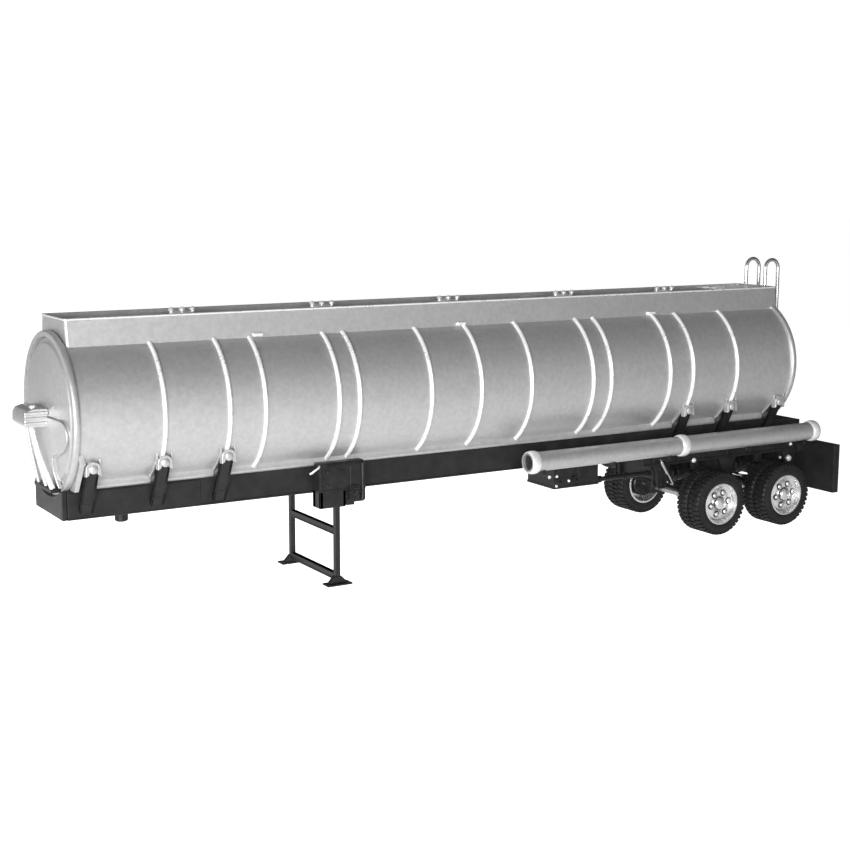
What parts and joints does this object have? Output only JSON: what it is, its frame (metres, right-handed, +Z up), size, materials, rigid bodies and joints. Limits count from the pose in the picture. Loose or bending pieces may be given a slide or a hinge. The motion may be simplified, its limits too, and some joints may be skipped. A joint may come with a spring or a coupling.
{
  "type": "model road tank trailer",
  "caption": "Scale-model road tank semi-trailer: ringed silver tank on a dark frame, with rolling dual wheels, sliding landing legs and a kingpin.",
  "frame": {"origin": "under the middle of the trailer's box, on the surface that the tyres and landing feet stand on", "axes": "+X to the trailer's rear, +Y to its right-hand side, +Z up"},
  "size_m": [0.1582, 0.0288, 0.051],
  "materials": {
    "silver_plastic": "satin silver paint on moulded plastic",
    "bright_silver": "bright silver printed or painted trim",
    "chrome_plating": "vacuum-plated chrome",
    "axle_steel": "plain steel pin",
    "chassis_black": "charcoal moulded plastic with a slight sheen",
    "tyre_black": "soft black plastic tyre"
  },
  "bodies": {
    "trailer": {"axle_bearings": "chassis_black", "coaming_floor": "silver_plastic", "coaming_walls": "silver_plastic", "coupler_plate": "chassis_black", "drain_fittings": "chassis_black", "frame_apron": "chassis_black", "frame_crossmembers": "chassis_black", "frame_rail_left": "chassis_black", "frame_rail_right": "chassis_black", "hose_tube_brackets": "chassis_black", "hose_tube_caps": "silver_plastic", "hose_tube_collars": "bright_silver", "hose_tubes": "silver_plastic", "kingpin": "chassis_black", "ladder_rails": "chrome_plating", "ladder_rungs": "chrome_plating", "leaf_springs": "chassis_black", "leg_gearbox": "chassis_black", "leg_housing_left": "chassis_black", "leg_housing_right": "chassis_black", "manhole_1": "bright_silver", "manhole_2": "bright_silver", "manhole_3": "bright_silver", "manhole_4": "bright_silver", "manhole_5": "bright_silver", "mud_flap": "chassis_black", "mud_flap_bracket": "chassis_black", "nose_conduits": "silver_plastic", "nose_guard_panel": "silver_plastic", "nose_lamp_box": "silver_plastic", "rear_deck": "chassis_black", "saddle_brackets": "chassis_black", "saddle_pads": "silver_plastic", "spring_hangers": "chassis_black", "subframe_crossmembers": "chassis_black", "subframe_rails": "chassis_black", "tank_barrel": "silver_plastic", "tank_base_rails": "silver_plastic", "tank_end_rims": "silver_plastic", "tank_head_front": "silver_plastic", "tank_head_rear": "silver_plastic", "tank_rings": "bright_silver", "torque_arms": "chassis_black", "valve_cabinet": "chassis_black", "walkway_plate": "silver_plastic"},
    "landing_gear": {"landing_brace_lower": "chassis_black", "landing_brace_upper": "chassis_black", "landing_feet": "chassis_black", "landing_leg_left": "chassis_black", "landing_leg_right": "chassis_black"},
    "front_wheelset": {"front_axle": "axle_steel", "front_inner_rims": "chrome_plating", "front_outer_rims": "chrome_plating", "front_tyres_left": "tyre_black", "front_tyres_right": "tyre_black"},
    "rear_wheelset": {"rear_axle": "axle_steel", "rear_inner_rims": "chrome_plating", "rear_outer_rims": "chrome_plating", "rear_tyres_left": "tyre_black", "rear_tyres_right": "tyre_black"}
  },
  "joints": [
    {"name": "landing_gear_slide", "type": "slide", "parent": "trailer", "child": "landing_gear", "axis": [0, 0, 1], "range_m": [0, 0.005]},
    {"name": "front_axle_spin", "type": "hinge", "parent": "trailer", "child": "front_wheelset", "pos_m": [0.04874, 0, 0.006], "axis": [0, 1, 0], "continuous": true},
    {"name": "rear_axle_spin", "type": "hinge", "parent": "trailer", "child": "rear_wheelset", "pos_m": [0.06531, 0, 0.006], "axis": [0, 1, 0], "continuous": true}
  ]
}
